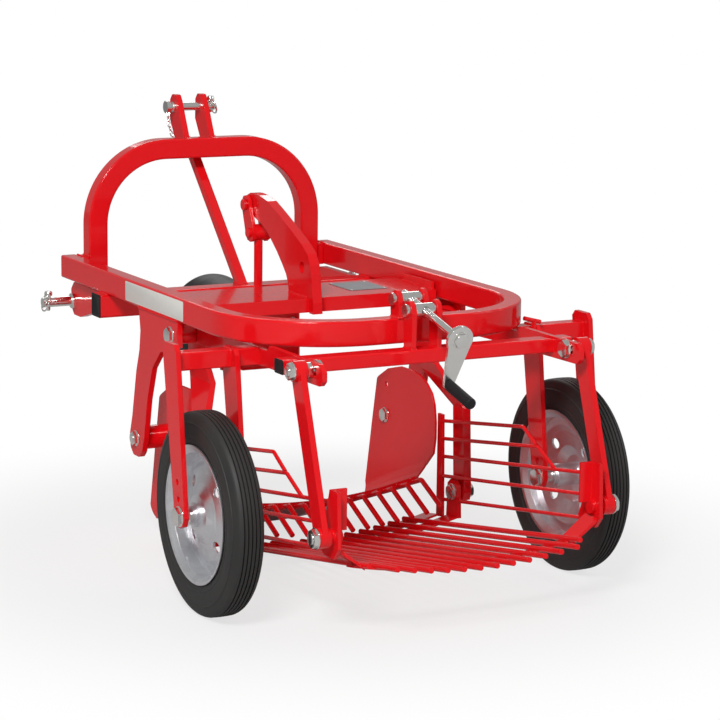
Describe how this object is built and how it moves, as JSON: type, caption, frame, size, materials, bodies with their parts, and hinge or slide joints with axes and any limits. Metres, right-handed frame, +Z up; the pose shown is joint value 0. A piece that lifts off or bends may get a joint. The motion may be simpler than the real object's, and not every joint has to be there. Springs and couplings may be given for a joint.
{
  "type": "three-point-mounted vibrating potato digger",
  "caption": "Potato digger for a small tractor: U-frame on two depth wheels, headstock arch, dished share, shaken rod sieve, gearbox with a splined input shaft.",
  "frame": {"origin": "on the ground under the middle of the wheel axle line", "axes": "+Y is the direction of travel, +X the machine's right-hand side, +Z up"},
  "size_m": [0.956, 1.4199, 0.918],
  "materials": {
    "red_paint": "glossy powder coat",
    "zinc": "zinc plated",
    "galvanised_rim": "galvanised sheet",
    "tyre": "ribbed solid rubber",
    "black_plastic": "moulded",
    "bright_steel": "machined, oiled"
  },
  "bodies": {
    "root": {"main_u_frame": "red_paint", "headstock_arch": "red_paint", "top_link_ear_left": "red_paint", "top_link_ear_right": "red_paint", "top_link_pin": "zinc", "mast_brace": "red_paint", "hitch_cross_tube": "red_paint", "share": "red_paint", "gearbox": "red_paint", "shaft_guard": "black_plastic", "hitch_bracket_left": "red_paint", "lower_link_pin_left": "zinc", "side_bracket_left": "red_paint", "side_plate_spacer_left": "zinc", "side_plate_left": "red_paint", "frame_axis_pin_left": "zinc", "hitch_bracket_right": "red_paint", "lower_link_pin_right": "zinc", "side_bracket_right": "red_paint", "side_plate_spacer_right": "zinc", "side_plate_right": "red_paint", "frame_axis_pin_right": "zinc"},
    "input_shaft": {"input_shaft": "bright_steel"},
    "rocker": {"cross_channel": "red_paint", "rocker_arm": "red_paint", "shaking_lever_left": "red_paint", "shaking_lever_right": "red_paint"},
    "drive_rod": {"drive_rod": "red_paint"},
    "lever_foot": {"lever_bolt_left": "zinc"},
    "sieve": {"sieve_floor": "red_paint", "sieve_side_left": "red_paint", "sieve_side_right": "red_paint", "lever_bolt_right": "zinc"},
    "depth_frame": {"side_arm_left": "red_paint", "side_arm_right": "red_paint", "rear_bar": "red_paint", "wheel_fork_left": "red_paint", "wheel_fork_right": "red_paint", "wheel_axle_left": "zinc", "wheel_axle_right": "zinc"},
    "wheel_left": {"tyre_left": "tyre", "rim_left": "galvanised_rim"},
    "wheel_right": {"tyre_right": "tyre", "rim_right": "galvanised_rim"},
    "link_pin_left": {"link_pin_left": "zinc"},
    "link_pin_right": {"link_pin_right": "zinc"},
    "rear_link_left": {"rear_link_left": "red_paint"},
    "rear_link_right": {"rear_link_right": "red_paint"},
    "depth_screw": {"depth_screw": "zinc", "screw_crank": "zinc", "crank_grip": "black_plastic"},
    "screw_nut": {"screw_nut": "zinc"}
  },
  "joints": [
    {"name": "input_shaft_turn", "type": "hinge", "parent": "root", "child": "input_shaft", "pos_m": [0, 0.742, 0.411], "axis": [0, 1, 0], "continuous": true},
    {"name": "depth_swing", "type": "hinge", "parent": "root", "child": "depth_frame", "pos_m": [0, 0.349, 0.4875], "axis": [1, 0, 0], "range_deg": [0, 3]},
    {"name": "rocker_swing", "type": "hinge", "parent": "root", "child": "rocker", "pos_m": [0, 0.349, 0.4875], "axis": [1, 0, 0], "range_deg": [-1.5, 1.5]},
    {"name": "drive_rod_swing", "type": "hinge", "parent": "rocker", "child": "drive_rod", "pos_m": [0, 0.665, 0.704], "axis": [1, 0, 0], "range_deg": [-0.4, 0.4]},
    {"name": "lever_foot_swing", "type": "hinge", "parent": "rocker", "child": "lever_foot", "pos_m": [-0.29, 0.258, 0.118], "axis": [1, 0, 0], "range_deg": [-1.5, 1.5]},
    {"name": "sieve_tilt", "type": "hinge", "parent": "lever_foot", "child": "sieve", "pos_m": [-0.29, 0.258, 0.118], "axis": [1, 0, 0], "range_deg": [0, 2.8]},
    {"name": "depth_screw_swing", "type": "hinge", "parent": "root", "child": "depth_screw", "pos_m": [-0.011, -0.07, 0.606], "axis": [1, 0, 0], "range_deg": [0, 19.5]},
    {"name": "screw_nut_swing", "type": "hinge", "parent": "depth_frame", "child": "screw_nut", "pos_m": [-0.011, -0.125, 0.592], "axis": [1, 0, 0], "range_deg": [0, 16.5]},
    {"name": "wheel_left_turn", "type": "hinge", "parent": "depth_frame", "child": "wheel_left", "pos_m": [-0.406, 0, 0.2], "axis": [1, 0, 0], "continuous": true},
    {"name": "link_pin_left_swing", "type": "hinge", "parent": "depth_frame", "child": "link_pin_left", "pos_m": [-0.3, -0.19, 0.505], "axis": [1, 0, 0], "range_deg": [-1.9, 1.9]},
    {"name": "rear_link_left_swing", "type": "hinge", "parent": "link_pin_left", "child": "rear_link_left", "pos_m": [-0.3, -0.19, 0.505], "axis": [1, 0, 0], "range_deg": [-3.75, 0]},
    {"name": "wheel_right_turn", "type": "hinge", "parent": "depth_frame", "child": "wheel_right", "pos_m": [0.406, 0, 0.2], "axis": [1, 0, 0], "continuous": true},
    {"name": "link_pin_right_swing", "type": "hinge", "parent": "depth_frame", "child": "link_pin_right", "pos_m": [0.3, -0.19, 0.505], "axis": [1, 0, 0], "range_deg": [-1.9, 1.9]},
    {"name": "rear_link_right_swing", "type": "hinge", "parent": "link_pin_right", "child": "rear_link_right", "pos_m": [0.3, -0.19, 0.505], "axis": [1, 0, 0], "range_deg": [-3.75, 0]}
  ],
  "couplings": [
    {"joint": "drive_rod_swing", "follows": "rocker_swing", "ratio": -0.215},
    {"joint": "lever_foot_swing", "follows": "rocker_swing", "ratio": -0.935},
    {"joint": "sieve_tilt", "follows": "depth_swing", "ratio": 0.932},
    {"joint": "depth_screw_swing", "follows": "depth_swing", "ratio": 6.47},
    {"joint": "screw_nut_swing", "follows": "depth_swing", "ratio": 5.47},
    {"joint": "link_pin_left_swing", "follows": "rocker_swing", "ratio": 1.233},
    {"joint": "rear_link_left_swing", "follows": "depth_swing", "ratio": -1.235},
    {"joint": "link_pin_right_swing", "follows": "rocker_swing", "ratio": 1.233},
    {"joint": "rear_link_right_swing", "follows": "depth_swing", "ratio": -1.235}
  ]
}
